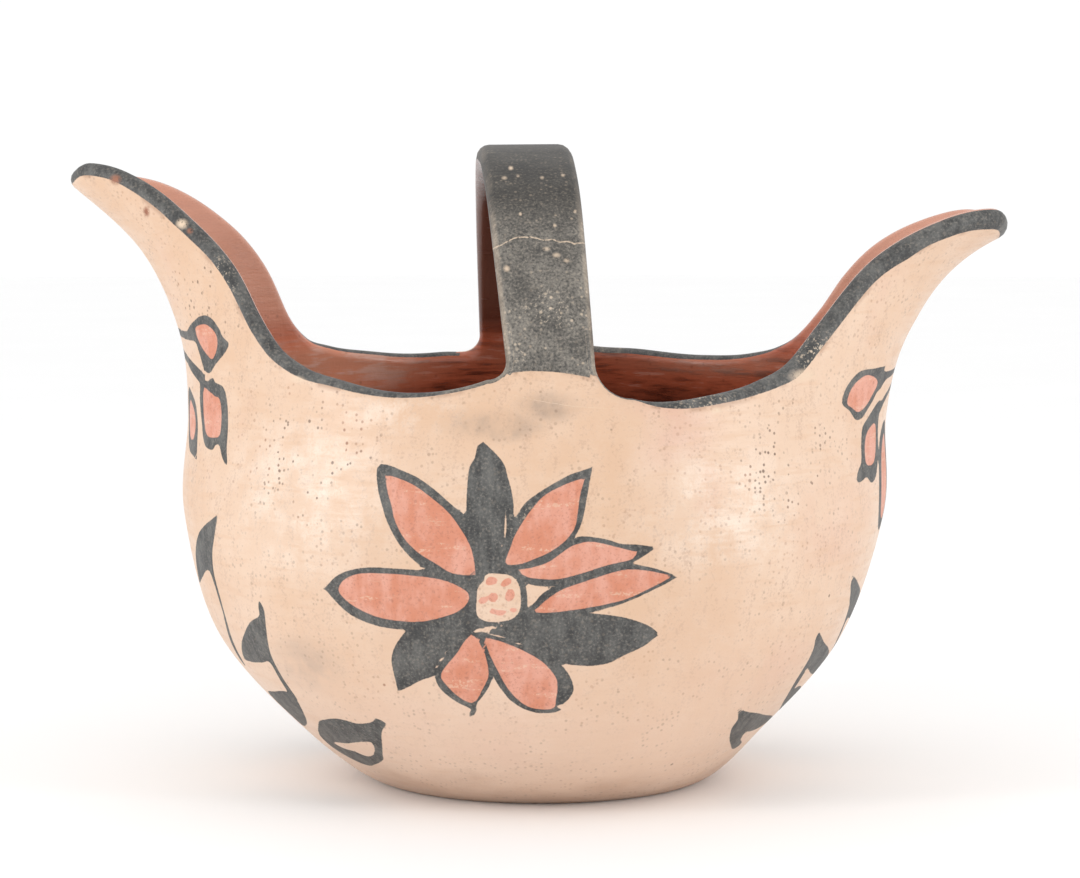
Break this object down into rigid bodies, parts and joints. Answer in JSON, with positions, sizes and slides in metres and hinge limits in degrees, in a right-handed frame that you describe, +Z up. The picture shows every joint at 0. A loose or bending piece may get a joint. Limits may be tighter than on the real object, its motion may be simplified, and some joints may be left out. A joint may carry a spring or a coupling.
{
  "type": "handled pottery bowl",
  "caption": "Round fired-clay bowl with two upswept spout-like ends and a strap handle arching over the middle, for holding and pouring.",
  "frame": {"origin": "on the ground under the middle of the bowl's length, in the middle of its flat underside", "axes": "+Z up; +X along the bowl from its higher end to its lower end; -Y out of the side with the painted flower that faces the viewer"},
  "size_m": [0.2796, 0.1859, 0.1905],
  "materials": {
    "painted_clay": "stone-polished cream slip with black and red clay paint, worn and speckled"
  },
  "bodies": {
    "root": {"handled_bowl": "painted_clay"}
  },
  "joints": []
}
